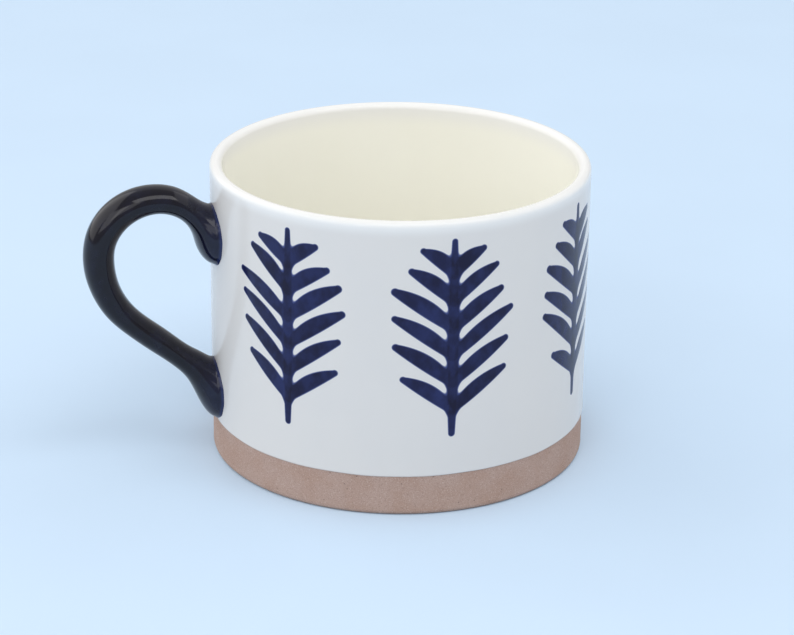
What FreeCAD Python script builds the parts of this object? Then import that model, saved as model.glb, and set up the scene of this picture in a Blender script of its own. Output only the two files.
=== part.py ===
"""Straight-sided stoneware mug with a bare clay foot band and a looped, tongue-ended handle.

The mug is one pot once it is fired, but a potter makes it from separate pieces: the clay cup, the
handle, the two seams of joining slip that hold the handle, and the coats of glaze. Each of them is
a solid of its own here. Lengths are in millimetres and angles in degrees.

Frame: the origin is on the cup's axis in the plane that it stands on, +Z is up and the handle
points along -X, with its centreline in the XZ plane. "Reach" is the distance out from the glazed
wall, so a point of reach u is at X = -(cup radius + u). A section's "tilt" is how far its thickness
direction is turned from level and outwards, so it is 90 at the top of the handle's loop.
"""

import FreeCAD, Part
import Sketcher
import os

DRIVING = {
    # the cup
    "outer_diameter": 95.0,  # over the glaze
    "cup_height": 75.5,
    "wall_thickness": 3.2,  # clay and both coats of glaze
    "floor_thickness": 5.0,  # clay, above the recess under the cup
    "floor_corner_radius": 7.0,
    "lip_outer_radius": 1.1,
    "lip_inner_radius": 1.5,
    # the foot
    "foot_width": 5.0,
    "foot_recess": 1.0,
    "foot_edge_radius": 1.2,
    "glaze_line_height": 10.3,  # bare clay below it
    # the coats
    "glaze_thickness": 0.3,
    "slip_thickness": 0.4,
    # the handle's path
    "loop_radius": 14.1,
    "loop_gap": 0.3,  # from the wall to the nearest point of the loop's circle
    "loop_drop": 20.4,  # from the rim down to the loop's centre
    "return_ratio": 0.84,  # the return arc's radius over the height from heel to loop centre
    "heel_reach": 7.7,
    "heel_rise": 8.4,  # from the lower tongue's middle up to the heel
    "upper_tongue_fall": 10.2,  # from the loop's top down to the upper tongue's middle
    # the handle's sections
    "neck_thickness": 6.0,
    "rod_thickness": 7.2,
    "rod_width": 9.0,
    "run_thickness": 5.8,
    "run_width": 8.2,
    "tongue_height": 15.0,
    "tongue_width": 16.3,
    "tip_clearance": 0.6,  # from the glaze line up to the lower tongue's tip
}

# Sizes that follow from the driving ones. Each is a property of the layout object.
DERIVED = {
    "cup_radius": "dims.outer_diameter / 2",
    "clay_radius": "dims.outer_diameter / 2 - dims.glaze_thickness",
    "joint_radius": "dims.outer_diameter / 2 - dims.glaze_thickness + dims.slip_thickness",
    "bore_radius": "dims.outer_diameter / 2 - dims.wall_thickness",
    "clay_bore_radius": "layout.bore_radius + dims.glaze_thickness",
    "lip_middle_radius": "(layout.cup_radius + layout.bore_radius) / 2",
    # the two lip radii have to leave some of the wall flat between them
    "lip_outer": "min(dims.lip_outer_radius; 0.40 * dims.wall_thickness)",
    "lip_inner": "min(dims.lip_inner_radius; 0.48 * dims.wall_thickness)",
    "clay_height": "dims.cup_height - dims.glaze_thickness",
    "clay_floor_height": "dims.foot_recess + dims.floor_thickness",
    "floor_height": "layout.clay_floor_height + dims.glaze_thickness",
    "recess_radius": "layout.clay_radius - dims.foot_edge_radius - dims.foot_width",
    "loop_reach": "dims.loop_radius + dims.loop_gap",
    "loop_height": "dims.cup_height - dims.loop_drop",
    "upper_joint_height": "layout.loop_height + dims.loop_radius - dims.upper_tongue_fall",
    "lower_joint_height": "dims.glaze_line_height + dims.tip_clearance + dims.tongue_height / 2",
    "joint_middle_height": "(layout.upper_joint_height + layout.lower_joint_height) / 2",
    "heel_height": "layout.lower_joint_height + dims.heel_rise",
    "heel_fall": "layout.loop_height - layout.heel_height",
    "return_radius": "dims.return_ratio * layout.heel_fall",
    "return_reach": "layout.loop_reach + dims.loop_radius - layout.return_radius",
    "heel_run": "dims.heel_reach - layout.return_reach",
    "heel_distance": "sqrt(layout.heel_run ^ 2 + layout.heel_fall ^ 2)",
    # how far the return arc turns before its tangent passes through the heel
    "return_turn": "atan2(layout.heel_fall; layout.heel_run) / 1 deg"
    " - acos(layout.return_radius / layout.heel_distance) / 1 deg",
    "run_top_reach": "layout.return_reach + layout.return_radius * cos(layout.return_turn * 1 deg)",
    "run_top_height": "layout.loop_height - layout.return_radius * sin(layout.return_turn * 1 deg)",
}

# Stations of a tongue, from inside the wall out to its neck: reach, rise above the middle of the
# joint, tilt, and spread, which is 1 for the full tongue and 0 for the neck.
UPPER_TONGUE = (
    (-3.0, -0.1, 95.0, 0.74),
    (0.7, 0.7, 105.0, 0.78),
    (2.2, 2.3, 110.0, 0.52),
    (3.5, 4.3, 112.0, 0.22),
)
LOWER_TONGUE = (
    (-3.0, 0.3, -86.0, 0.74),
    (0.5, 0.0, -77.0, 0.79),
    (1.9, 1.9, -68.0, 0.55),
    (3.5, 4.1, -62.0, 0.29),
    (5.2, 6.2, -56.0, 0.11),
)
# Stations of the loop: the angle about its centre, which is also the tilt, and how far the section
# has grown from the neck's thickness to the rod's.
LOOP = ((108.0, 0.2), (80.0, 0.6), (50.0, 1.0), (20.0, 1.0), (-5.0, 0.9))
# Stations of the return arc and of the straight run down to the heel, as shares of each.
RETURN_SHARES = (0.35, 0.70, 1.0)
RUN_SHARES = (0.5, 1.0)

TRIM_OVERRUN = 2.0  # how far a trimming shape runs past what it trims
EDGE_TOLERANCE = 1e-4


def make_sheet(doc):
    """Put each driving dimension in a named cell of the sheet and add the derived ones."""
    sheet = doc.addObject("Spreadsheet::Sheet", "dims")
    for row, (name, value) in enumerate(DRIVING.items(), start=1):
        sheet.set(f"A{row}", name)
        sheet.set(f"B{row}", str(value))
        sheet.setAlias(f"B{row}", name)
    doc.recompute()
    layout = doc.addObject("App::VarSet", "layout")
    for name, formula in DERIVED.items():
        layout.addProperty("App::PropertyFloat", name, "Derived")
        layout.setExpression(name, formula)
        doc.recompute()


def size_of(doc, formula):
    """The present value of a formula of the named dimensions."""
    return float(doc.layout.evalExpression(formula))


def new_sketch(body, name, role):
    """A sketch on the body's own origin plane of that role, such as XY_Plane."""
    plane = next(f for f in body.Origin.OriginFeatures if f.Role == role)
    sketch = body.newObject("Sketcher::SketchObject", name)
    sketch.AttachmentSupport = [(plane, "")]
    sketch.MapMode = "FlatFace"
    return sketch


def dimension(sketch, kind, places, formula):
    """Add a dimension of that kind to the sketch and bind it to a formula."""
    present = size_of(sketch.Document, formula)
    index = sketch.addConstraint(Sketcher.Constraint(kind, *places, present))
    sketch.setExpression(f"Constraints[{index}]", formula)


def turned_solid(body, corners):
    """Turn a closed outline in the XZ plane about Z.

    Each corner is a pair of formulas: its distance from the axis and its height.
    """
    doc = body.Document
    sketch = new_sketch(body, body.Name + "_outline", "XZ_Plane")
    places = [FreeCAD.Vector(size_of(doc, r), size_of(doc, z), 0) for r, z in corners]
    count = len(places)
    for index, start in enumerate(places):
        sketch.addGeometry(Part.LineSegment(start, places[(index + 1) % count]), False)
    for index in range(count):
        following = (index + 1) % count
        sketch.addConstraint(Sketcher.Constraint("Coincident", index, 2, following, 1))
    for index, (r, z) in enumerate(corners):
        dimension(sketch, "DistanceX", (-1, 1, index, 1), r)
        dimension(sketch, "DistanceY", (-1, 1, index, 1), z)
    turned = body.newObject("PartDesign::Revolution", body.Name + "_turned")
    turned.Profile = sketch
    turned.ReferenceAxis = (sketch, ["V_Axis"])
    turned.Angle = 360.0
    sketch.Visibility = False
    doc.recompute()


def circular_edge(shape, radius, height):
    """The name of the circular edge of that radius about Z at that height."""
    for index, edge in enumerate(shape.Edges, start=1):
        curve = edge.Curve
        if not isinstance(curve, Part.Circle):
            continue
        off = max(abs(curve.Radius - radius), abs(curve.Center.z - height))
        if off < EDGE_TOLERANCE:
            return f"Edge{index}"
    raise RuntimeError(f"no edge of radius {radius} at height {height}")


def round_edge(body, name, radius, height, fillet_radius):
    """Round the circular edge at that radius and height. All three sizes are formulas."""
    doc = body.Document
    base = body.Tip
    edge = circular_edge(base.Shape, size_of(doc, radius), size_of(doc, height))
    fillet = body.newObject("PartDesign::Fillet", name)
    fillet.Base = (base, [edge])
    fillet.setExpression("Radius", fillet_radius)
    doc.recompute()


def make_clay_body(doc):
    """The thrown cup: a wall, a floor, a recess under it and a ring to stand on."""
    body = doc.addObject("PartDesign::Body", "clay_body")
    outer = "layout.clay_radius"
    bore = "layout.clay_bore_radius"
    recess = "layout.recess_radius"
    top = "layout.clay_height"
    floor = "layout.clay_floor_height"
    turned_solid(
        body,
        (
            ("0", "dims.foot_recess"),
            (recess, "dims.foot_recess"),
            (recess, "0"),
            (outer, "0"),
            (outer, top),
            (bore, top),
            (bore, floor),
            ("0", floor),
        ),
    )
    round_edge(body, "foot_edge", outer, "0", "dims.foot_edge_radius")
    round_edge(body, "recess_edge", recess, "0", "dims.foot_recess / 2")
    corner = "dims.floor_corner_radius + dims.glaze_thickness"
    round_edge(body, "floor_corner", bore, floor, corner)
    round_edge(body, "lip_outer_edge", outer, top, "layout.lip_outer - dims.glaze_thickness")
    round_edge(body, "lip_inner_edge", bore, top, "layout.lip_inner - dims.glaze_thickness")
    return body


def make_glazed_form(doc):
    """The cup's form over its glaze, solid down to the plane it stands on."""
    body = doc.addObject("PartDesign::Body", "glazed_form")
    outer = "layout.cup_radius"
    bore = "layout.bore_radius"
    top = "dims.cup_height"
    floor = "layout.floor_height"
    turned_solid(
        body,
        (
            ("0", "0"),
            (outer, "0"),
            (outer, top),
            (bore, top),
            (bore, floor),
            ("0", floor),
        ),
    )
    round_edge(body, "glazed_floor_corner", bore, floor, "dims.floor_corner_radius")
    round_edge(body, "glazed_lip_outer_edge", outer, top, "layout.lip_outer")
    round_edge(body, "glazed_lip_inner_edge", bore, top, "layout.lip_inner")
    return body


def between(start, end, share):
    """The formula of a size that share of the way from one size to another."""
    return f"({start} + ({end} - {start}) * {share})"


def tongue_stations(tongue, joint_height, neck_thickness, neck_width):
    """The sections of one tongue."""
    return [
        (
            str(reach),
            f"{joint_height} + {rise}",
            str(tilt),
            between(neck_thickness, "dims.tongue_height", spread),
            between(neck_width, "dims.tongue_width", spread),
        )
        for reach, rise, tilt, spread in tongue
    ]


def loop_stations():
    """The sections round the loop, from above the neck to its outermost point."""
    return [
        (
            f"layout.loop_reach + dims.loop_radius * cos({angle} deg)",
            f"layout.loop_height + dims.loop_radius * sin({angle} deg)",
            str(angle),
            between("dims.neck_thickness", "dims.rod_thickness", share),
            "dims.rod_width",
        )
        for angle, share in LOOP
    ]


def return_stations():
    """The sections round the return arc, which starts level with the loop's centre."""
    turn = "layout.return_turn"
    return [
        (
            f"layout.return_reach + layout.return_radius * cos({turn} * {share} * 1 deg)",
            f"layout.loop_height - layout.return_radius * sin({turn} * {share} * 1 deg)",
            f"-{turn} * {share}",
            between("dims.rod_thickness", "dims.run_thickness", share),
            between("dims.rod_width", "dims.run_width", share),
        )
        for share in RETURN_SHARES
    ]


def run_stations():
    """The sections down the straight run to the heel."""
    return [
        (
            between("layout.run_top_reach", "dims.heel_reach", share),
            between("layout.run_top_height", "layout.heel_height", share),
            "-layout.return_turn",
            "dims.run_thickness",
            "dims.run_width",
        )
        for share in RUN_SHARES
    ]


def handle_stations():
    """All the handle's sections, from inside the wall at the top to inside it below.

    Each is five formulas: reach, height, tilt, thickness in the XZ plane, and width along Y.
    """
    upper = tongue_stations(
        UPPER_TONGUE, "layout.upper_joint_height", "dims.neck_thickness", "dims.rod_width"
    )
    lower = tongue_stations(
        LOWER_TONGUE, "layout.lower_joint_height", "dims.run_thickness", "dims.run_width"
    )
    return upper + loop_stations() + return_stations() + run_stations() + lower[::-1]


def oval_section(body, name, station, coat):
    """An oval across the handle's centreline, with a coat added all round."""
    reach, height, tilt, thickness, width = station
    doc = body.Document
    thickness = f"{thickness} + 2 * {coat}"
    width = f"{width} + 2 * {coat}"
    sketch = new_sketch(body, name, "XY_Plane")
    about_y = FreeCAD.Rotation(FreeCAD.Vector(0, 1, 0), size_of(doc, tilt))
    sketch.AttachmentOffset = FreeCAD.Placement(FreeCAD.Vector(), about_y)
    sketch.setExpression("AttachmentOffset.Base.x", f"-(layout.cup_radius + {reach}) * 1 mm")
    sketch.setExpression("AttachmentOffset.Base.z", f"({height}) * 1 mm")
    sketch.setExpression("AttachmentOffset.Rotation.Angle", f"({tilt}) * 1 deg")
    half_thickness = FreeCAD.Vector(size_of(doc, thickness) / 2, 0, 0)
    half_width = FreeCAD.Vector(0, size_of(doc, width) / 2, 0)
    wide = half_width.Length >= half_thickness.Length
    if wide:
        major, minor, formulas = half_width, half_thickness, (width, thickness)
    else:
        major, minor, formulas = half_thickness, half_width, (thickness, width)
    sketch.addGeometry(Part.Ellipse(major, minor, FreeCAD.Vector()), False)
    sketch.exposeInternalGeometry(0)
    sketch.addConstraint(Sketcher.Constraint("Coincident", 0, 3, -1, 1))
    sketch.addConstraint(Sketcher.Constraint("Vertical" if wide else "Horizontal", 1))
    for axis, formula in zip((1, 2), formulas):
        dimension(sketch, "Distance", (axis,), formula)
    sketch.Visibility = False
    return sketch


def make_handle_blank(doc, name, coat):
    """The handle from tongue to tongue, its ends still buried in the wall, plus a coat."""
    body = doc.addObject("PartDesign::Body", name)
    sections = [
        oval_section(body, f"{name}_section_{index}", station, coat)
        for index, station in enumerate(handle_stations())
    ]
    doc.recompute()
    loft = body.newObject("PartDesign::AdditiveLoft", name + "_loft")
    loft.Profile = sections[0]
    loft.Sections = sections[1:]
    doc.recompute()
    return body


def cylinder(doc, name, radius, low, high):
    """A trimming cylinder about Z between two heights. All three sizes are formulas."""
    tool = doc.addObject("Part::Cylinder", name)
    tool.setExpression("Radius", radius)
    tool.setExpression("Height", f"{high} - ({low})")
    tool.setExpression("Placement.Base.z", low)
    return tool


def combine(doc, kind, name, base, tool):
    """A boolean of two objects: Cut or Common."""
    result = doc.addObject("Part::" + kind, name)
    result.Base = base
    result.Tool = tool
    return result


def make_handle(doc, blank):
    """The clay handle, cut to the face of its joints."""
    top = f"dims.cup_height + {TRIM_OVERRUN}"
    bed = cylinder(doc, "handle_bed", "layout.joint_radius", f"-{TRIM_OVERRUN}", top)
    return combine(doc, "Cut", "handle", blank, bed)


def make_joint_slip(doc, name, blank, low, high):
    """The skin of slip between the clay wall and one of the handle's tongues."""
    outer = cylinder(doc, name + "_outer", "layout.joint_radius", low, high)
    inner = cylinder(doc, name + "_inner", "layout.clay_radius", low, high)
    skin = combine(doc, "Cut", name + "_skin", outer, inner)
    return combine(doc, "Common", name, blank, skin)


def make_outer_glaze(doc, coat, coated_blank):
    """The coat outside, from the glaze line to the middle of the lip, open round the tongues."""
    top = f"dims.cup_height + {TRIM_OVERRUN}"
    reach = f"layout.cup_radius + {TRIM_OVERRUN}"
    low = "dims.glaze_line_height"
    outside = cylinder(doc, "outside_reach", reach, low, top)
    inside = cylinder(doc, "outside_core", "layout.lip_middle_radius", low, top)
    ring = combine(doc, "Cut", "outside_ring", outside, inside)
    whole = combine(doc, "Common", "whole_outer_glaze", coat, ring)
    return combine(doc, "Cut", "outer_glaze", whole, coated_blank)


def make_liner_glaze(doc, coat):
    """The coat inside, from the middle of the lip down over the floor."""
    top = f"dims.cup_height + {TRIM_OVERRUN}"
    mid_floor = "dims.foot_recess + dims.floor_thickness / 2"
    bowl = cylinder(doc, "liner_reach", "layout.lip_middle_radius", mid_floor, top)
    return combine(doc, "Common", "liner_glaze", coat, bowl)


def make_handle_glaze(doc, blank, coated_blank):
    """The dark coat round the handle, down to the clay wall."""
    top = f"dims.cup_height + {TRIM_OVERRUN}"
    bed = cylinder(doc, "handle_glaze_bed", "layout.clay_radius", f"-{TRIM_OVERRUN}", top)
    around = combine(doc, "Cut", "handle_coat", coated_blank, blank)
    return combine(doc, "Cut", "handle_glaze", around, bed)


def check(doc, pieces):
    """Stop if any object failed or any piece isn't one valid solid."""
    for thing in doc.Objects:
        failed = {"Invalid", "Error"} & set(thing.State)
        if failed:
            raise RuntimeError(f"{thing.Name} is {failed}")
    for piece in pieces:
        shape = piece.Shape
        if shape.isNull() or not shape.isValid() or len(shape.Solids) != 1:
            raise RuntimeError(f"{piece.Label} isn't one valid solid")
        print(f"{piece.Label}: {shape.Volume:.2f} mm3")


def main():
    """Build the document, check it and write one STEP file for each piece."""
    doc = FreeCAD.newDocument("mug")
    make_sheet(doc)
    clay_body = make_clay_body(doc)
    glazed_form = make_glazed_form(doc)
    blank = make_handle_blank(doc, "handle_blank", "0")
    coated_blank = make_handle_blank(doc, "coated_handle_blank", "dims.glaze_thickness")
    coat = combine(doc, "Cut", "cup_coat", glazed_form, clay_body)
    middle = "layout.joint_middle_height"
    top = f"dims.cup_height + {TRIM_OVERRUN}"
    pieces = [
        clay_body,
        make_handle(doc, blank),
        make_joint_slip(doc, "upper_joint_slip", blank, middle, top),
        make_joint_slip(doc, "lower_joint_slip", blank, f"-{TRIM_OVERRUN}", middle),
        make_outer_glaze(doc, coat, coated_blank),
        make_liner_glaze(doc, coat),
        make_handle_glaze(doc, blank, coated_blank),
    ]
    doc.recompute()
    for piece in pieces:
        piece.Label = piece.Name
    check(doc, pieces)
    os.makedirs("parts", exist_ok=True)
    for piece in pieces:
        piece.Shape.exportStep(f"parts/{piece.Label}.step")


main()
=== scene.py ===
"""Looks of a straight-sided stoneware mug with painted sprigs and a looped dark handle.

The CAD solids say where everything is. This script gives the clay, the three glazes and the painted
sprigs their finished surfaces, and sets a plain pale floor, soft studio light and a camera.
Sizes in the classes are in millimetres, and the meshes are in metres.
"""

import logging
import math
from dataclasses import dataclass, field, replace
from enum import Enum
from typing import Protocol

import bpy
import numpy as np
from mathutils import Matrix, Vector


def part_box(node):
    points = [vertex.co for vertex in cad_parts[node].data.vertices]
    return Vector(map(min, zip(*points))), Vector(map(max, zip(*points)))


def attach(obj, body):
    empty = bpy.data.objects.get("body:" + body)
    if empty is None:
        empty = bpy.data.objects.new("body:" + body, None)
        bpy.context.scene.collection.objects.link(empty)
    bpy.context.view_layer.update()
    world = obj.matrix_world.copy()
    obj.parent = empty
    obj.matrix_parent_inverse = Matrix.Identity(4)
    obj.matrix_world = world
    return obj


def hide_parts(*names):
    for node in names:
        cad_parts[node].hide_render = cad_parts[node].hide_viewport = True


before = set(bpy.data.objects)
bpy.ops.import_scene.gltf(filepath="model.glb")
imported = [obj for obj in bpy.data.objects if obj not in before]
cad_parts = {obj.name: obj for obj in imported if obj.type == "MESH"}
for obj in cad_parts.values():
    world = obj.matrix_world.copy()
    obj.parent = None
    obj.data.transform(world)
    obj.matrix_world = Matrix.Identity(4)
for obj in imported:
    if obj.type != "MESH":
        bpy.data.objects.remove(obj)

LOG = logging.getLogger("mug")
MM = 0.001
BODY = "root"
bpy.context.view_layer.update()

Array = np.ndarray
Colour = tuple[float, float, float]


class Slot(Enum):
    """The record's material slots."""

    CLAY = "stoneware_clay"
    SLIP = "joining_slip"
    WHITE = "white_glaze"
    CREAM = "cream_glaze"
    NAVY = "navy_glaze"


# ---------------------------------------------------------------- sizes that the CAD solids give


def node_box(node: str) -> tuple[Array, Array]:
    """A CAD node's lowest and highest corners in millimetres.

    Args:
        node: the node's name.

    Returns:
        Two arrays of x, y and z.
    """
    low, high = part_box(node)
    return np.array(low) / MM, np.array(high) / MM


@dataclass(frozen=True)
class CupSizes:
    """The cup's radii and heights, in millimetres, read from the CAD solids."""

    cup_radius: float
    clay_radius: float
    height: float
    clay_height: float
    glaze_line: float
    floor_height: float
    recess: float
    wall: float = 3.2
    lip_outer: float = 1.55
    lip_inner: float = 1.55
    floor_corner: float = 7.0
    foot_width: float = 5.0
    foot_edge: float = 1.2
    floor_clay: float = 5.0

    @classmethod
    def from_frame(cls) -> "CupSizes":
        """Read the sizes from the boxes of the clay and the glazes.

        Returns:
            The sizes.
        """
        clay_low, clay_high = node_box("clay_body")
        glaze_low, glaze_high = node_box("outer_glaze")
        liner_low, _ = node_box("liner_glaze")
        coat = glaze_high[0] - clay_high[0]
        return cls(
            cup_radius=glaze_high[0],
            clay_radius=clay_high[0],
            height=glaze_high[2],
            clay_height=clay_high[2],
            glaze_line=glaze_low[2],
            floor_height=liner_low[2] + coat,
            recess=liner_low[2] - cls.floor_clay,
        )

    @property
    def coat(self) -> float:
        """The glaze's thickness."""
        return self.cup_radius - self.clay_radius

    @property
    def bore_radius(self) -> float:
        """The radius inside, over the glaze."""
        return self.cup_radius - self.wall

    @property
    def lip_middle(self) -> float:
        """The radius of the lip's crest, where the two coats meet."""
        return self.cup_radius - self.lip_outer - 0.05


# ---------------------------------------------------------------- meshes from arrays


def smooth_step(low: float, high: float, value: Array) -> Array:
    """Rise smoothly from 0 at low to 1 at high: 3t squared less 2t cubed.

    Args:
        low: where the rise starts.
        high: where it ends.
        value: the numbers to map.

    Returns:
        Numbers from 0 to 1.
    """
    share = np.clip((value - low) / (high - low), 0.0, 1.0)
    return share * share * (3.0 - 2.0 * share)


def arc(centre: tuple[float, float], radius: float, start: float, end: float, count: int) -> Array:
    """Points of an arc in the plane of radius and height.

    Each point is the centre plus the radius times the cosine and sine of an angle.

    Args:
        centre: the arc's centre.
        radius: its radius.
        start: the first angle in degrees.
        end: the last angle in degrees.
        count: how many points.

    Returns:
        An array of count pairs.
    """
    angle = np.radians(np.linspace(start, end, count))
    return np.stack([centre[0] + radius * np.cos(angle), centre[1] + radius * np.sin(angle)], 1)


def line(start: tuple[float, float], end: tuple[float, float], count: int) -> Array:
    """Evenly spaced points from start to end, both left out.

    Args:
        start: the point before the first.
        end: the point after the last.
        count: how many points.

    Returns:
        An array of count pairs.
    """
    share = (np.arange(count) + 1.0)[:, None] / (count + 1.0)
    return np.array(start) * (1.0 - share) + np.array(end) * share


def ring_quads(rows: int, columns: int, closed: bool) -> Array:
    """The faces of a grid whose columns close on themselves.

    Args:
        rows: how many rows of points.
        columns: how many points in a row.
        closed: whether the last row joins the first.

    Returns:
        An array of faces, four indices each.
    """
    index = np.arange(rows * columns).reshape(rows, columns)
    if closed:
        index = np.vstack([index, index[:1]])
    here, above = index[:-1], index[1:]
    corners = [here, np.roll(here, -1, 1), np.roll(above, -1, 1), above]
    return np.stack(corners, -1).reshape(-1, 4)


def fan(tip: int, ring: Array) -> Array:
    """Triangles from a tip to each edge of a closed ring.

    Args:
        tip: the tip's index.
        ring: the ring's indices in order.

    Returns:
        An array of faces, three indices each.
    """
    return np.stack([np.full(len(ring), tip), ring, np.roll(ring, -1)], 1)


def signed_volume(points: Array, faces: list[Array]) -> float:
    """The volume that the faces enclose, positive if they face outwards.

    It sums, over every triangle of each face's fan, its corners' triple product over six.

    Args:
        points: the corners.
        faces: arrays of triangles or quads.

    Returns:
        The volume in cubic metres.
    """
    total = 0.0
    for group in faces:
        for corner in range(1, group.shape[1] - 1):
            a, b, c = (points[group[:, k]] for k in (0, corner, corner + 1))
            total += float(np.einsum("ij,ij->", a, np.cross(b, c))) / 6.0
    return total


def add_piece(
    name: str,
    points: Array,
    faces: list[Array],
    material: bpy.types.Material,
    attributes: dict[str, Array] | None = None,
    sharp_angle: float = 40.0,
) -> bpy.types.Object:
    """Make a smooth closed mesh, dress it and fix it to the mug.

    Args:
        name: the object's name.
        points: corners in millimetres.
        faces: arrays of triangles or quads.
        material: its material.
        attributes: numbers for each corner, by name.
        sharp_angle: edges that turn further than this, in degrees, stay sharp.

    Returns:
        The object.
    """
    places = points * MM
    if signed_volume(places, faces) < 0.0:
        faces = [group[:, ::-1] for group in faces]
    mesh = bpy.data.meshes.new(name)
    mesh.from_pydata(places.tolist(), [], [f for group in faces for f in group.tolist()])
    for label, values in (attributes or {}).items():
        layer = mesh.attributes.new(label, "FLOAT", "POINT")
        layer.data.foreach_set("value", values.astype(np.float32))
    mesh.shade_smooth()
    mesh.set_sharp_from_angle(angle=math.radians(sharp_angle))
    mesh.materials.append(material)
    piece = bpy.data.objects.new(name, mesh)
    bpy.context.scene.collection.objects.link(piece)
    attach(piece, BODY)
    LOG.info("%s: %d corners, %d faces", name, len(places), sum(len(g) for g in faces))
    return piece


# ---------------------------------------------------------------- finishes


class Nodes:
    """A material's node tree, with short calls to add nodes and join them."""

    def __init__(self, name: str) -> None:
        """Start an empty material with a shader and an output.

        Args:
            name: the material's name.

        Returns:
            Nothing.
        """
        self.material = bpy.data.materials.new(name)
        self.material.use_nodes = True
        self.tree = self.material.node_tree
        self.tree.nodes.clear()
        self.shader = self.tree.nodes.new("ShaderNodeBsdfPrincipled")
        output = self.tree.nodes.new("ShaderNodeOutputMaterial")
        self.tree.links.new(self.shader.outputs["BSDF"], output.inputs["Surface"])
        self.place = self.tree.nodes.new("ShaderNodeTexCoord").outputs["Object"]

    def join(self, source: object, target: bpy.types.NodeSocket) -> None:
        """Link a socket to a target, or set the target to a plain value.

        Args:
            source: a socket or a plain value.
            target: the input that takes it.

        Returns:
            Nothing.
        """
        if isinstance(source, bpy.types.NodeSocket):
            self.tree.links.new(source, target)
        else:
            target.default_value = source

    def set(self, **inputs: object) -> None:
        """Set the shader's inputs, each by its name with underscores for spaces."""
        for name, value in inputs.items():
            self.join(value, self.shader.inputs[name.replace("_", " ")])

    def noise(self, size: float, detail: float = 2.0, stretch: float = 1.0) -> bpy.types.NodeSocket:
        """Soft noise whose features are about size millimetres wide.

        Args:
            size: the features' width in millimetres.
            detail: how many finer octaves it has.
            stretch: how much taller than wide the features are.

        Returns:
            The noise's factor.
        """
        mapping = self.tree.nodes.new("ShaderNodeMapping")
        scale = 1.0 / (size * MM)
        mapping.inputs["Scale"].default_value = (scale, scale, scale / stretch)
        self.join(self.place, mapping.inputs["Vector"])
        node = self.tree.nodes.new("ShaderNodeTexNoise")
        node.inputs["Scale"].default_value = 1.0
        node.inputs["Detail"].default_value = detail
        self.join(mapping.outputs["Vector"], node.inputs["Vector"])
        return node.outputs["Fac"]

    def specks(self, spacing: float) -> bpy.types.NodeSocket:
        """The distance from the nearest of many scattered points, in spacings.

        Args:
            spacing: the points' mean spacing in millimetres.

        Returns:
            The distance.
        """
        node = self.tree.nodes.new("ShaderNodeTexVoronoi")
        node.inputs["Scale"].default_value = 1.0 / (spacing * MM)
        self.join(self.place, node.inputs["Vector"])
        return node.outputs["Distance"]

    def height(self) -> bpy.types.NodeSocket:
        """The height above the standing plane, in metres.

        Returns:
            The socket that holds it.
        """
        node = self.tree.nodes.new("ShaderNodeSeparateXYZ")
        self.join(self.place, node.inputs["Vector"])
        return node.outputs["Z"]

    def attribute(self, name: str) -> bpy.types.NodeSocket:
        """The piece's own number of that name.

        Args:
            name: the attribute's name.

        Returns:
            The socket that holds it.
        """
        node = self.tree.nodes.new("ShaderNodeAttribute")
        node.attribute_name = name
        return node.outputs["Fac"]

    def span(
        self, value: object, low: float, high: float, start: float = 0.0, end: float = 1.0
    ) -> bpy.types.NodeSocket:
        """Map low to high smoothly onto start to end, held beyond them.

        Args:
            value: the socket to map.
            low: the value that gives start.
            high: the value that gives end.
            start: the first result.
            end: the last result.

        Returns:
            The mapped value.
        """
        node = self.tree.nodes.new("ShaderNodeMapRange")
        node.interpolation_type = "SMOOTHSTEP"
        for name, number in (
            ("From Min", low),
            ("From Max", high),
            ("To Min", start),
            ("To Max", end),
        ):
            node.inputs[name].default_value = number
        self.join(value, node.inputs["Value"])
        return node.outputs["Result"]

    def blend(self, share: object, first: object, second: object) -> bpy.types.NodeSocket:
        """Mix two colours.

        Args:
            share: how much of the second.
            first: a colour or a socket.
            second: a colour or a socket.

        Returns:
            The mixed colour.
        """
        node = self.tree.nodes.new("ShaderNodeMix")
        node.data_type = "RGBA"
        self.join(share, node.inputs["Factor"])
        for index, colour in ((6, first), (7, second)):
            self.join((*colour, 1.0) if isinstance(colour, tuple) else colour, node.inputs[index])
        return node.outputs[2]

    def math(self, kind: str, first: object, second: object) -> bpy.types.NodeSocket:
        """One arithmetic step, such as ADD or MULTIPLY.

        Args:
            kind: the operation's name.
            first: a socket or a number.
            second: a socket or a number.

        Returns:
            The socket that holds the result.
        """
        node = self.tree.nodes.new("ShaderNodeMath")
        node.operation = kind
        self.join(first, node.inputs[0])
        self.join(second, node.inputs[1])
        return node.outputs["Value"]

    def bump(self, height: object, depth: float, below: object = None) -> bpy.types.NodeSocket:
        """Relief of that depth in millimetres.

        Args:
            height: the relief, from 0 to 1.
            depth: its depth in millimetres.
            below: another bump's normal, to add to.

        Returns:
            The normal.
        """
        node = self.tree.nodes.new("ShaderNodeBump")
        node.inputs["Distance"].default_value = depth * MM
        self.join(height, node.inputs["Height"])
        if below is not None:
            self.join(below, node.inputs["Normal"])
        return node.outputs["Normal"]


class Finish(Protocol):
    """Anything that can make a material."""

    def material(self) -> bpy.types.Material:
        """Make the material."""


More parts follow.
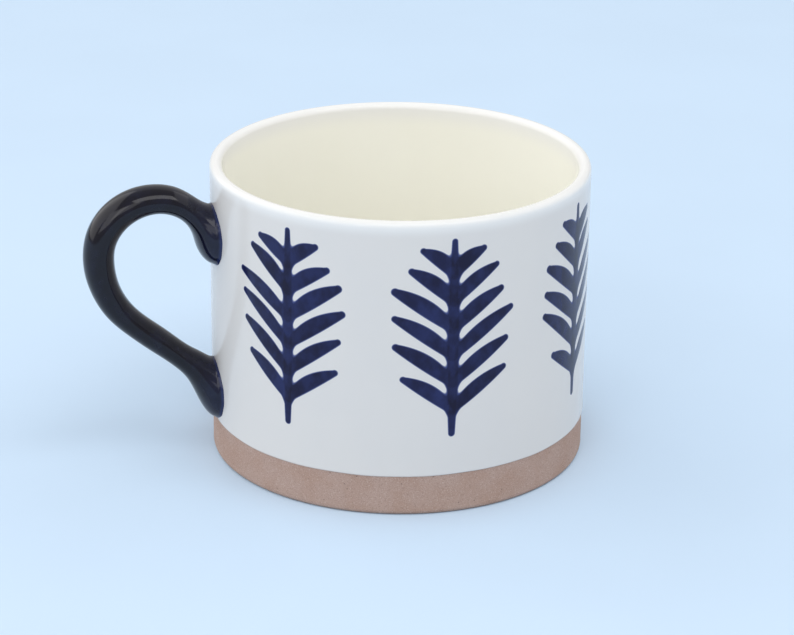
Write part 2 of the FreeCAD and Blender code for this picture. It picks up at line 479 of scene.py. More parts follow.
@dataclass(frozen=True)
class SandyStoneware:
    """Bare fired clay: tan, matt, with a fine sandy grain, pale grit and a few dark specks."""

    name: str = "sandy_stoneware"
    tan: Colour = (0.430, 0.300, 0.248)
    brown: Colour = (0.405, 0.268, 0.212)
    grit: Colour = (0.56, 0.44, 0.38)
    speck: Colour = (0.17, 0.115, 0.095)
    grain_depth: float = 0.05

    def material(self) -> bpy.types.Material:
        """Cloudy tan clay under fine grain, then pale grit, then dark specks.

        Returns:
            The material.
        """
        nodes = Nodes(self.name)
        cloud = nodes.span(nodes.noise(9.0, 3.0), 0.35, 0.65)
        colour = nodes.blend(cloud, self.tan, self.brown)
        grain = nodes.noise(0.26, 3.0)
        colour = nodes.blend(nodes.span(grain, 0.52, 0.76, 0.0, 0.6), colour, self.grit)
        colour = nodes.blend(nodes.span(grain, 0.47, 0.28, 0.0, 0.45), colour, self.speck)
        pale = nodes.span(nodes.specks(0.9), 0.20, 0.10, 0.0, 0.6)
        colour = nodes.blend(pale, colour, self.grit)
        dark = nodes.span(nodes.specks(2.3), 0.10, 0.05, 0.0, 0.8)
        colour = nodes.blend(dark, colour, self.speck)
        relief = nodes.bump(grain, self.grain_depth)
        relief = nodes.bump(nodes.noise(1.6, 2.0), self.grain_depth, relief)
        nodes.set(
            Base_Color=colour,
            Roughness=nodes.span(grain, 0.3, 0.7, 0.92, 0.78),
            Normal=relief,
        )
        nodes.shader.inputs["Specular IOR Level"].default_value = 0.35
        return nodes.material


@dataclass(frozen=True)
class ClearGlaze:
    """A smooth glossy pale glaze whose colour may change over a band of height; its lip band is
    painted light.
    """

    name: str
    colour: Colour
    shade: Colour
    edge: Colour
    edge_low: float
    edge_high: float
    # The lip colour and its band are painted light: a whiter rim band, a painted highlight for the
    # light the rim catches.
    lip: Colour
    lip_low: float
    lip_high: float
    roughness: float = 0.13
    gloss: float = 0.3

    def material(self) -> bpy.types.Material:
        """Pale glaze with soft clouds, a colour band at its edge, a painted-light band at the lip,
        and dimples.

        Returns:
            The material.
        """
        nodes = Nodes(self.name)
        cloud = nodes.span(nodes.noise(16.0, 2.0, 1.5), 0.35, 0.7, 0.0, 0.6)
        colour = nodes.blend(cloud, self.colour, self.shade)
        share = nodes.span(nodes.height(), self.edge_low * MM, self.edge_high * MM)
        colour = nodes.blend(share, self.edge, colour)
        # Painted light: blend towards the lip colour at the top, a painted highlight on the rim.
        share = nodes.span(nodes.height(), self.lip_low * MM, self.lip_high * MM)
        colour = nodes.blend(share, colour, self.lip)
        relief = nodes.bump(nodes.noise(7.0, 1.0), 0.012)
        relief = nodes.bump(nodes.noise(1.1, 1.0), 0.0006, relief)
        nodes.set(
            Base_Color=colour,
            Roughness=nodes.span(nodes.noise(5.0), 0.3, 0.7, self.roughness, self.roughness + 0.05),
            Normal=relief,
        )
        nodes.shader.inputs["Specular IOR Level"].default_value = self.gloss
        return nodes.material


@dataclass(frozen=True)
class NavyGlaze:
    """A glossy near-black blue glaze, bluer where it is thin, at edges."""

    name: str = "navy_glaze"
    deep: Colour = (0.0050, 0.0045, 0.0095)
    mottle: Colour = (0.0070, 0.0075, 0.018)
    thin: Colour = (0.018, 0.030, 0.110)
    roughness: float = 0.08
    gloss: float = 0.32

    def material(self) -> bpy.types.Material:
        """Near-black glaze with soft mottling, blue at the thin number, and faint waves.

        Returns:
            The material.
        """
        nodes = Nodes(self.name)
        cloud = nodes.span(nodes.noise(4.0, 3.0), 0.4, 0.7)
        colour = nodes.blend(cloud, self.deep, self.mottle)
        colour = nodes.blend(nodes.attribute("thin"), colour, self.thin)
        relief = nodes.bump(nodes.noise(5.0, 1.0), 0.02)
        nodes.set(
            Base_Color=colour,
            Roughness=nodes.span(nodes.noise(3.0), 0.3, 0.7, self.roughness, self.roughness + 0.05),
            Normal=relief,
        )
        nodes.shader.inputs["Specular IOR Level"].default_value = self.gloss
        return nodes.material


@dataclass(frozen=True)
class CobaltPaint:
    """Brushed cobalt under clear glaze: dark where it pools, paler at its edge and thin places."""

    name: str = "cobalt_paint"
    deep: Colour = (0.0040, 0.0030, 0.024)
    wash: Colour = (0.017, 0.025, 0.108)
    edge: Colour = (0.060, 0.080, 0.230)
    ground: Colour = (0.69, 0.68, 0.66)
    roughness: float = 0.13
    gloss: float = 0.25

    def material(self) -> bpy.types.Material:
        """Wash mixed with the deep colour by the load number, then the edge by the depth number.

        Returns:
            The material.
        """
        nodes = Nodes(self.name)
        blotch = nodes.span(nodes.noise(3.2, 3.0, 1.4), 0.34, 0.68, -0.14, 0.14)
        load = nodes.math("ADD", nodes.attribute("load"), blotch)
        colour = nodes.blend(nodes.span(load, 0.05, 0.95), self.wash, self.deep)
        depth = nodes.attribute("depth")
        colour = nodes.blend(nodes.span(depth, -0.05, 0.28), self.edge, colour)
        colour = nodes.blend(nodes.span(depth, -0.18, 0.04), self.ground, colour)
        nodes.set(
            Base_Color=colour,
            Roughness=nodes.span(nodes.noise(5.0), 0.3, 0.7, self.roughness, self.roughness + 0.05),
            Normal=nodes.bump(nodes.noise(7.0, 1.0), 0.012),
        )
        nodes.shader.inputs["Specular IOR Level"].default_value = self.gloss
        return nodes.material


@dataclass(frozen=True)
class PaleFloor:
    """A plain pale matt surface."""

    name: str = "pale_floor"
    colour: Colour = (0.565, 0.705, 0.865)

    def material(self) -> bpy.types.Material:
        """One pale colour with a trace of unevenness.

        Returns:
            The material.
        """
        nodes = Nodes(self.name)
        paler = tuple(min(1.0, c * 1.015) for c in self.colour)
        colour = nodes.blend(nodes.span(nodes.noise(60.0), 0.3, 0.7), self.colour, paler)
        nodes.set(Base_Color=colour, Roughness=0.9)
        nodes.shader.inputs["Specular IOR Level"].default_value = 0.1
        return nodes.material


# ---------------------------------------------------------------- the cup


@dataclass(frozen=True)
class Wall:
    """The outside of the glazed wall, as a radius for each direction and height."""

    sizes: CupSizes
    unevenness: float = 0.035
    settle: float = 0.05
    calm_lip: float = 6.0
    calm_line: float = 4.0

    def waves(self, azimuth: Array, height: Array) -> Array:
        """Slow unevenness of a cast wall: three low waves round it, one of them leaning.

        Args:
            azimuth: the direction in radians.
            height: in millimetres.

        Returns:
            Millimetres, from -unevenness to unevenness.
        """
        rise = height / self.sizes.height * math.tau
        round_it = 0.45 * np.sin(2.0 * azimuth + 0.7) + 0.3 * np.sin(3.0 * azimuth + 0.6 * rise)
        leaning = 0.25 * np.sin(5.0 * azimuth - 1.3 * rise + 2.0)
        top, low = self.sizes.height, self.sizes.glaze_line
        calm = smooth_step(top, top - self.calm_lip, height)
        calm = calm * smooth_step(low, low + self.calm_line, height)
        return self.unevenness * calm * (round_it + leaning - 1.0)

    def radius(self, azimuth: Array, height: Array) -> Array:
        """The wall's radius, which follows the lip's outer arc above the straight part.

        Args:
            azimuth: the direction in radians.
            height: in millimetres.

        Returns:
            Millimetres.
        """
        turn = self.sizes.lip_outer
        above = np.clip(height - (self.sizes.height - turn), 0.0, turn)
        drop = turn - np.sqrt(turn * turn - above * above)
        return self.sizes.cup_radius - self.settle - drop + self.waves(azimuth, height)

    def place(self, azimuth: Array, height: Array, proud: Array) -> Array:
        """Points on the wall, a little proud of it.

        A direction a is towards sin a along X and minus cos a along Y.

        Args:
            azimuth: the direction in radians.
            height: in millimetres.
            proud: how far out from the wall, in millimetres.

        Returns:
            An array of points.
        """
        radius = self.radius(azimuth, height) + proud
        return np.stack([radius * np.sin(azimuth), -radius * np.cos(azimuth), height], -1)


@dataclass
class Turned:
    """A solid made by carrying a profile round the cup's axis."""

    columns: int = 480

    def sweep(self, profile: Array) -> tuple[Array, Array]:
        """Carry a profile round: each point becomes a ring of its radius at its height.

        Args:
            profile: pairs of radius and height.

        Returns:
            The directions, and an array of rows of points.
        """
        turn = np.arange(self.columns) * (math.tau / self.columns)
        radius, height = profile[:, :1], profile[:, 1:]
        rows = np.stack(
            [radius * np.sin(turn), -radius * np.cos(turn), height + 0.0 * turn], axis=-1
        )
        return turn, rows

    def with_poles(self, rows: Array, low: float, high: float) -> tuple[Array, list[Array]]:
        """Close a swept profile with a point on the axis at each end.

        Args:
            rows: rows of points.
            low: the height of the point before the first row.
            high: the height of the point after the last row.

        Returns:
            All the points, and their faces.
        """
        count, columns = rows.shape[:2]
        points = np.vstack([rows.reshape(-1, 3), [[0.0, 0.0, low], [0.0, 0.0, high]]])
        first = np.arange(columns)
        last = first + (count - 1) * columns
        tips = count * columns
        faces = [
            ring_quads(count, columns, False),
            np.vstack([fan(tips, first[::-1]), fan(tips + 1, last)]),
        ]
        return points, faces


@dataclass
class ClayCup(Turned):
    """The bare clay: the band below the glaze line, the foot ring and the recess under it."""

    sizes: CupSizes = field(default_factory=CupSizes.from_frame)
    sand: float = 0.025

    def profile(self) -> Array:
        """The clay's outline from the middle of the underside round to the middle of the floor.

        Returns:
            Pairs of radius and height.
        """
        s = self.sizes
        outer = s.clay_radius
        bore = s.bore_radius + s.coat
        recess_radius = outer - s.foot_edge - s.foot_width
        fillet = s.recess / 2.0
        corner = s.floor_corner + s.coat
        floor = s.floor_height - s.coat
        lip_out = s.lip_outer - s.coat
        lip_in = s.lip_inner - s.coat
        top = s.clay_height
        return np.vstack(
            [
                line((0.0, s.recess), (recess_radius, s.recess), 30),
                [[recess_radius, s.recess]],
                line((recess_radius, s.recess), (recess_radius, fillet), 3),
                arc((recess_radius + fillet, fillet), fillet, 180.0, 270.0, 7),
                line((recess_radius + fillet, 0.0), (outer - s.foot_edge, 0.0), 8),
                arc((outer - s.foot_edge, s.foot_edge), s.foot_edge, -90.0, 0.0, 11),
                line((outer, s.foot_edge), (outer, s.glaze_line), 26),
                line((outer, s.glaze_line), (outer, top - lip_out), 12),
                arc((outer - lip_out, top - lip_out), lip_out, 0.0, 90.0, 6),
                arc((bore + lip_in, top - lip_in), lip_in, 90.0, 180.0, 6),
                line((bore, top - lip_in), (bore, floor + corner), 10),
                arc((bore - corner, floor + corner), corner, 0.0, -90.0, 10),
                line((bore - corner, floor), (0.0, floor), 10),
            ]
        )

    def build(self, finish: Finish) -> bpy.types.Object:
        """Carry the outline round, with a trace of sandy unevenness on the bare band.

        Args:
            finish: the clay's finish.

        Returns:
            The piece.
        """
        turn, rows = self.sweep(self.profile())
        s = self.sizes
        height = rows[..., 2]
        bare = smooth_step(0.4, 1.6, height) * smooth_step(s.glaze_line, s.glaze_line - 1.0, height)
        on_band = bare * (np.hypot(rows[..., 0], rows[..., 1]) > s.clay_radius - s.foot_edge)
        wave = np.sin(7.0 * turn + height) + np.sin(23.0 * turn - 2.1 * height)
        shrink = 1.0 + on_band * self.sand * (wave - 2.0) / 4.0 / s.clay_radius
        rows[..., :2] *= shrink[..., None]
        points, faces = self.with_poles(rows, s.recess, s.floor_height - s.coat)
        piece = add_piece("clay_cup", points, faces, finish.material())
        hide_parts("clay_body")
        return piece


@dataclass
class OuterCoat(Turned):
    """The white glaze outside, from a rounded edge at the glaze line up to the lip's crest."""

    sizes: CupSizes = field(default_factory=CupSizes.from_frame)
    edge_radius: float = 0.32
    line_waver: float = 0.16

    def profile(self) -> Array:
        """The coat's outline: up the outside, over to the crest, and back down against the clay.

        Returns:
            Pairs of radius and height.
        """
        s = self.sizes
        outer, clay = s.cup_radius, s.clay_radius
        low, top = s.glaze_line, s.height
        turn = s.lip_outer
        inner_turn = turn - s.coat
        edge = self.edge_radius
        return np.vstack(
            [
                [[clay - 0.05, low + 0.02]],
                arc((outer - edge, low + edge), edge, -80.0, 0.0, 8),
                line((outer, low + edge), (outer, low + 3.0), 6),
                line((outer, low + 3.0), (outer, top - turn), 56),
                arc((outer - turn, top - turn), turn, 0.0, 90.0, 14),
                line((outer - turn, top), (s.lip_middle, top), 2),
                [[s.lip_middle, top]],
                [[s.lip_middle, s.clay_height - 0.02]],
                arc((clay - inner_turn, s.clay_height - inner_turn), inner_turn, 80.0, 10.0, 5),
                line((clay - 0.05, s.clay_height - turn), (clay - 0.05, low), 10),
            ]
        )

    def build(self, finish: Finish) -> bpy.types.Object:
        """Carry the outline round, then add the wall's waves and a wavering glaze line.

        Args:
            finish: the glaze's finish.

        Returns:
            The piece.
        """
        s = self.sizes
        turn, rows = self.sweep(self.profile())
        radius = np.hypot(rows[..., 0], rows[..., 1])
        height = rows[..., 2]
        outside = smooth_step(s.clay_radius + 0.05, s.cup_radius - 0.02, radius)
        wall = Wall(s)
        waves = wall.waves(turn[None, :] + 0.0 * height, height) - wall.settle
        rows[..., :2] *= (1.0 + outside * waves / radius)[..., None]
        waver = 0.5 * np.sin(3.0 * turn + 1.0) + 0.3 * np.sin(8.0 * turn)
        waver = waver + 0.2 * np.sin(19.0 * turn)
        near = smooth_step(s.glaze_line + 4.0, s.glaze_line, height)
        rows[..., 2] += near * self.line_waver * waver
        faces = [ring_quads(len(rows), self.columns, True)]
        piece = add_piece("outer_coat", rows.reshape(-1, 3), faces, finish.material())
        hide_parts("outer_glaze")
        return piece


@dataclass
class LinerCoat(Turned):
    """The inside glaze, from the lip's crest down over the floor; its cream colour is painted
    light.
    """

    sizes: CupSizes = field(default_factory=CupSizes.from_frame)

    def profile(self) -> Array:
        """The coat's outline: from the floor's middle on the clay side, up to the crest and back.

        Returns:
            Pairs of radius and height.
        """
        s = self.sizes
        bore, clay = s.bore_radius, s.bore_radius + s.coat
        corner, floor = s.floor_corner, s.floor_height
        lip = s.lip_inner
        lip_clay = lip - s.coat
        return np.vstack(
            [
                line((0.0, floor - s.coat), (bore - corner, floor - s.coat), 6),
                arc((bore - corner, floor + corner), corner + s.coat, -90.0, 0.0, 8),
                line((clay, floor + corner), (clay, s.clay_height - lip), 8),
                arc((clay + lip_clay, s.clay_height - lip_clay), lip_clay, 170.0, 100.0, 5),
                [[s.lip_middle, s.clay_height - 0.02]],
                [[s.lip_middle, s.height]],
                arc((bore + lip, s.height - lip), lip, 90.0, 180.0, 16),
                line((bore, s.height - lip), (bore, floor + corner), 50),
                arc((bore - corner, floor + corner), corner, 0.0, -90.0, 20),
                line((bore - corner, floor), (0.0, floor), 26),
            ]
        )

    def build(self, finish: Finish) -> bpy.types.Object:
        """Carry the outline round.

        Args:
            finish: the glaze's finish.

        Returns:
            The piece.
        """
        s = self.sizes
        _, rows = self.sweep(self.profile())
        points, faces = self.with_poles(rows, s.floor_height - s.coat, s.floor_height)
        piece = add_piece("liner_coat", points, faces, finish.material())
        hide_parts("liner_glaze")
        return piece


# ---------------------------------------------------------------- the handle


@dataclass(frozen=True)
class Station:
    """One section of the handle: how far out, how high, its tilt, thickness and width."""

    reach: float
    height: float
    tilt: float
    thickness: float
    width: float


@dataclass
class HandleCoat:
    """The dark glazed handle: a loop, a return arc, a straight run and a tongue at each end."""

    sizes: CupSizes = field(default_factory=CupSizes.from_frame)
    loop_radius: float = 14.1
    loop_gap: float = 0.3
    loop_drop: float = 20.4
    return_ratio: float = 0.84
    heel_reach: float = 7.7
    heel_rise: float = 8.4
    neck_thickness: float = 6.6
    rod_thickness: float = 7.8
    rod_width: float = 9.6
    run_thickness: float = 6.4
    run_width: float = 8.8
    tongue_height: float = 15.6
    tongue_width: float = 16.9
    root_depth: float = 1.5
    bead_width: float = 0.9
    bead_spread: float = 0.5
    bead_waver: float = 0.35
    rows: int = 330
    columns: int = 112

    upper_tongue: tuple[tuple[float, ...], ...] = (
        (-3.0, -0.1, 95.0, 0.74),
        (0.7, 0.7, 105.0, 0.78),
        (2.2, 2.3, 110.0, 0.52),
        (3.5, 4.3, 112.0, 0.22),
    )
    lower_tongue: tuple[tuple[float, ...], ...] = (
        (-3.0, 0.3, -86.0, 0.74),
        (0.5, 0.0, -77.0, 0.79),
        (1.9, 1.9, -68.0, 0.55),
        (3.5, 4.1, -62.0, 0.29),
        (5.2, 6.2, -56.0, 0.11),
    )
    loop: tuple[tuple[float, float], ...] = (
        (108.0, 0.2),
        (80.0, 0.6),
        (50.0, 1.0),
        (20.0, 1.0),
        (-5.0, 0.9),
    )

    def joint_height(self, node: str) -> float:
        """The height of the middle of a joint, from its slip's box."""
        low, high = node_box(node)
        return float(low[2] + high[2]) / 2.0

    def tongue(
        self, rows: tuple[tuple[float, ...], ...], joint: float, neck: float, wide: float
    ) -> list[Station]:
        """The stations of one tongue.

        Args:
            rows: reach, rise, tilt and spread of each.
            joint: the height of the joint's middle.
            neck: the thickness at the neck.
            wide: the width at the neck.

        Returns:
            A list of stations.
        """
        return [
            Station(
                reach,
                joint + rise,
                tilt,
                neck + (self.tongue_height - neck) * spread,
                wide + (self.tongue_width - wide) * spread,
            )
            for reach, rise, tilt, spread in rows
        ]

    def stations(self) -> list[Station]:
        """All the sections, from inside the wall at the top to inside it below.

        Returns:
            A list of stations.
        """
        top = self.sizes.height
        centre_reach = self.loop_radius + self.loop_gap
        centre_height = top - self.loop_drop
        upper = self.joint_height("upper_joint_slip") - 0.1
        lower = self.joint_height("lower_joint_slip") + 0.35
        found = self.tongue(self.upper_tongue, upper, self.neck_thickness, self.rod_width)
        for angle, share in self.loop:
            found.append(
                Station(
                    centre_reach + self.loop_radius * math.cos(math.radians(angle)),
                    centre_height + self.loop_radius * math.sin(math.radians(angle)),
                    angle,
                    self.neck_thickness + (self.rod_thickness - self.neck_thickness) * share,
                    self.rod_width,
                )
            )
        heel_height = lower + self.heel_rise
        fall = centre_height - heel_height
        radius = self.return_ratio * fall
        return_reach = centre_reach + self.loop_radius - radius
        run = self.heel_reach - return_reach
        turn = math.atan2(fall, run) - math.acos(radius / math.hypot(run, fall))
        for share in (0.35, 0.70, 1.0):
            found.append(
                Station(
                    return_reach + radius * math.cos(turn * share),
                    centre_height - radius * math.sin(turn * share),
                    -math.degrees(turn) * share,
                    self.rod_thickness + (self.run_thickness - self.rod_thickness) * share,
                    self.rod_width + (self.run_width - self.rod_width) * share,
                )
            )
        end = found[-1]
        for share in (0.5, 1.0):
            found.append(
                Station(
                    end.reach + (self.heel_reach - end.reach) * share,
                    end.height + (heel_height - end.height) * share,
                    end.tilt,
                    self.run_thickness,
                    self.run_width,
                )
            )
        found += self.tongue(self.lower_tongue, lower, self.run_thickness, self.run_width)[::-1]
        return found

    def spline(self, knots: Array, values: Array, where: Array) -> Array:
        """A smooth cubic spline through values at the knots.

        The curvatures at the knots come from one set of equations: the slope is the same on both
        sides of every knot, and the curvature changes steadily across the second and the last but
        one.

        Args:
            knots: increasing numbers.
            values: one row for each knot.
            where: where to read the curve.

        Returns:
            One row for each place.
        """
        span = np.diff(knots)
        slope = np.diff(values, axis=0) / span[:, None]
        around = np.concatenate([[-span[0] - span[1]], 2.0 * (span[:-1] + span[1:])])
        around = np.concatenate([around, [-span[-1] - span[-2]]])
        system = np.zeros((len(knots), len(knots)))
        inner = np.arange(1, len(knots) - 1)
        system[inner, inner - 1], system[inner, inner], system[inner, inner + 1] = (
            span[:-1],
            around[1:-1],
            span[1:],
        )
        system[0, :3] = span[1], around[0], span[0]
        system[-1, -3:] = span[-1], around[-1], span[-2]
        target = np.zeros_like(values)
        target[1:-1] = 6.0 * np.diff(slope, axis=0)
        curve = np.linalg.solve(system, target)
        index = np.clip(np.searchsorted(knots, where, side="right") - 1, 0, len(knots) - 2)
        size = span[index][:, None]
        share = (where - knots[index])[:, None] / size
        rest = 1.0 - share
        straight = rest * values[index] + share * values[index + 1]
        bent = (rest**3 - rest) * curve[index] + (share**3 - share) * curve[index + 1]
        return straight + bent * size**2 / 6.0

    def surface(self) -> tuple[Array, Array]:
        """The handle's skin: smooth rails through an oval at each station.

        A point of an oval is its centre plus half the thickness times the cosine of an angle along
        the tilt, and half the width times its sine along Y. Rows crowd towards both ends.

        Returns:
            Rows of points, and how far each row is along, from 0 to 1.
        """
        table = np.array(
            [[s.reach, s.height, s.tilt, s.thickness, s.width] for s in self.stations()]
        )
        reach, height, tilt, thickness, width = (table[:, k : k + 1] for k in range(5))
        tilt = np.radians(tilt)
        angle = np.arange(self.columns) * (math.tau / self.columns)
        out = reach + 0.5 * thickness * np.cos(angle) * np.cos(tilt)
        up = height + 0.5 * thickness * np.cos(angle) * np.sin(tilt)
        side = 0.5 * width * np.sin(angle)
        ovals = np.stack([-(self.sizes.cup_radius + out), side + 0.0 * out, up], axis=-1)
        knots = np.concatenate([[0.0], np.cumsum(np.hypot(*np.diff(table[:, :2], axis=0).T))])
        even = np.linspace(-1.0, 1.0, self.rows)
        share = 0.5 + 0.5 * np.sin(even * math.pi / 2.0) * 0.75 + 0.125 * even
        rows = self.spline(knots, ovals.reshape(len(ovals), -1), share * knots[-1])
        return rows.reshape(self.rows, self.columns, 3), share

    def bury_ends(self, rows: Array) -> Array:
        """Keep the skin out of the cup's bore: no point is nearer the axis than the root's depth.

        A point that lies deeper moves out along X onto the cylinder of that radius.

        Args:
            rows: the skin's points.

        Returns:
            The points, with both ends inside the wall.
        """
        buried = self.sizes.cup_radius - self.root_depth
        nearest = -np.sqrt(np.maximum(buried**2 - rows[..., 1] ** 2, 1.0))
        kept = rows.copy()
        kept[..., 0] = np.minimum(rows[..., 0], nearest)
        return kept

    def spread_bead(self, rows: Array, upper: Array) -> tuple[Array, Array]:
        """Run the glaze out into a small rounded bead where it meets the wall.

        A point at distance d from the wall moves along the wall, away from the joint's middle, by
        the bead's spread times a bump that is 1 at the wall and falls to 0 over the bead's width.
        The spread is greatest at the joint's sides and wavers a little round it.

        Args:
            rows: rows of points.
            upper: which rows belong to the upper joint.

        Returns:
            The moved rows, and the bump.
        """
        radius = np.hypot(rows[..., 0], rows[..., 1])
        gap = radius - self.sizes.cup_radius
        near = np.clip(1.0 - gap / self.bead_width, 0.0, 1.0)
        bump = np.sqrt(np.clip(1.0 - (1.0 - near) ** 2, 0.0, 1.0)) * near
        bump = np.where(gap < 0.0, 1.0, bump)
        joints = np.where(
            upper,
            self.joint_height("upper_joint_slip"),
            self.joint_height("lower_joint_slip"),
        )[:, None]
        side = rows[..., 1]
        up = rows[..., 2] - joints
        length = np.hypot(side, up) + 1e-9
        turn = np.arctan2(side, up)
        waver = 0.6 * np.sin(5.0 * turn + 1.0) + 0.4 * np.sin(13.0 * turn + joints)
        beside = 0.35 + 0.65 * np.abs(side) / length
        step = self.bead_spread * bump * beside * (1.0 + self.bead_waver * waver)
        side = side + step * side / length
        moved = rows.copy()
        moved[..., 1] = side
        moved[..., 2] += step * up / length
        moved[..., 0] = -np.sqrt(np.maximum(radius**2 - side**2, 1.0))
        return moved, bump

    def build(self, finish: Finish) -> bpy.types.Object:
        """Loft the skin, add the beads and close the ends inside the wall.

        Args:
            finish: the dark glaze's finish.

        Returns:
            The piece.
        """
        rows, share = self.surface()
        rows, bump = self.spread_bead(rows, share < 0.5)
        rows = self.bury_ends(rows)
        count, columns = rows.shape[:2]
        tips = rows[[0, -1]].mean(axis=1)
        points = np.vstack([rows.reshape(-1, 3), tips])
        first = np.arange(columns)
        last = first + (count - 1) * columns
        faces = [
            ring_quads(count, columns, False),
            np.vstack([fan(count * columns, first[::-1]), fan(count * columns + 1, last)]),
        ]
        gap = np.hypot(rows[..., 0], rows[..., 1]) - self.sizes.cup_radius
        thin = 0.55 * smooth_step(0.05, 0.8, bump) + 0.15 * smooth_step(7.0, 0.5, gap)
        thin = np.concatenate([thin.ravel(), [0.0, 0.0]])
        piece = add_piece(
            "handle_coat",
            points,
            faces,
            finish.material(),
            {"thin": thin},
        )
        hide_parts("handle_glaze")
        return piece


# ---------------------------------------------------------------- the painted sprigs


@dataclass(frozen=True)
class Stroke:
    """One brush stroke: it starts on the stem and ends in a rounded tip. Millimetres."""

    root_height: float
    tip_reach: float
    tip_height: float
    root_width: float
    middle_width: float
    tip_width: float
    bend: float
    load: float = 0.6
    tip_load: float = 0.6


@dataclass(frozen=True)
class Stem:
    """The upright stroke: its lean at the top, middle and bottom, its ends and its widths."""

    lean: tuple[float, float, float]
    top: float
    bottom: float
    widths: tuple[float, ...]


@dataclass(frozen=True)
class Design:
    """A sprig: a stem with strokes on both sides."""

    stem: Stem
    strokes: tuple[Stroke, ...]

    def by_hand(self, seed: int) -> "Design":
        """The same design painted again, each stroke moved a little as a hand would.

        Args:
            seed: which hand.

        Returns:
            The new design.
        """
        chance = np.random.default_rng(seed)
        moved = []
        for s in self.strokes:
            reach, height, width, load = chance.normal(0.0, (0.7, 0.5, 0.15, 0.12))
            change = {
                "tip_reach": s.tip_reach + reach,
                "tip_height": min(s.tip_height + height, 73.8),
                "middle_width": s.middle_width + width,
                "tip_width": s.tip_width + width,
                "load": float(np.clip(s.load + load, 0.1, 1.0)),
            }
            moved.append(replace(s, **change))
        return Design(self.stem, tuple(moved))


@dataclass(frozen=True)
class LeafRule:
    """The rule for a plain leaf sprig: even pairs of leaves that all rise alike. Millimetres."""

    pairs: int = 6
    first_pair: float = 17.0
    last_pair: float = 13.5
    rise: float = 36.0
    shortest: float = 8.0
    longest: float = 18.0
    root_width: float = 1.8
    leaf_width: float = 3.8
    tip_width: float = 1.6
    bend: float = 0.9
    stem_top: float = 5.0
    stem_bottom: float = 11.0
    stem_widths: tuple[float, ...] = (1.4, 2.6, 3.0, 2.8, 1.6)

    def design(self, sizes: CupSizes) -> Design:
        """Lay out the sprig between the glaze line and the rim.

        The pairs are evenly spaced. A leaf's length is the shortest plus a share of the rest of
        the longest, and the share is a sine that peaks below the middle and falls to the top.

        Args:
            sizes: the cup's sizes.

        Returns:
            The design, the same on both sides of the stem.
        """
        roots = np.linspace(
            sizes.glaze_line + self.first_pair, sizes.height - self.last_pair, self.pairs
        )
        share = np.sin(math.pi * np.linspace(0.25, 0.95, self.pairs))
        lengths = self.shortest + (self.longest - self.shortest) * share
        slope = math.radians(self.rise)
        stem = Stem(
            (0.0, 0.0, 0.0),
            sizes.height - self.stem_top,
            sizes.glaze_line + self.stem_bottom,
            self.stem_widths,
        )
        leaves = tuple(
            Stroke(
                float(root),
                side * float(length) * math.cos(slope),
                float(root) + float(length) * math.sin(slope),
                self.root_width,
                self.leaf_width,
                self.tip_width,
                side * self.bend,
            )
            for root, length in zip(roots, lengths)
            for side in (-1.0, 1.0)
        )
        return Design(stem, leaves)


